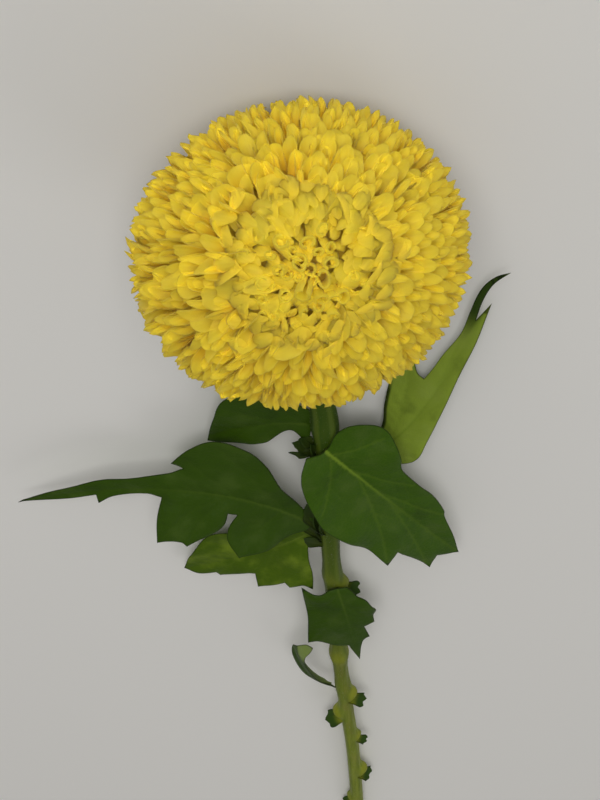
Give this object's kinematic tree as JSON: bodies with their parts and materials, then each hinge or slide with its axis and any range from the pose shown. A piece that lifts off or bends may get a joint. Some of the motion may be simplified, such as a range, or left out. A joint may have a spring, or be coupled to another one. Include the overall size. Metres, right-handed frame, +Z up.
{
  "type": "chrysanthemum cut flower",
  "caption": "Cut stem of a yellow ball chrysanthemum with leaves, laid on its side with the bloom nodding upwards.",
  "frame": {"origin": "middle of the small flat spot under the bloom, on the surface that the flower lies on", "axes": "the stem runs along -Y from the bloom, +X is to the right when looking from the cut end's side of the picture with the bloom at the top, +Z is up from the surface"},
  "size_m": [0.1374, 0.3807, 0.0647],
  "materials": {
    "florets": "soft, slightly velvety yellow petals",
    "bracts": "matte green",
    "stem": "satin green, ribbed and finely downy",
    "leaf": "satin dark green with lighter veins"
  },
  "bodies": {
    "root": {"bloom": "florets", "bracts": "bracts", "stem": "stem", "leaf_left_top": "leaf", "leaf_left_large": "leaf", "leaf_left_low": "leaf", "leaf_right_large": "leaf", "leaf_right_tall": "leaf", "leaf_front_small": "leaf", "leaf_thin": "leaf"}
  },
  "joints": []
}
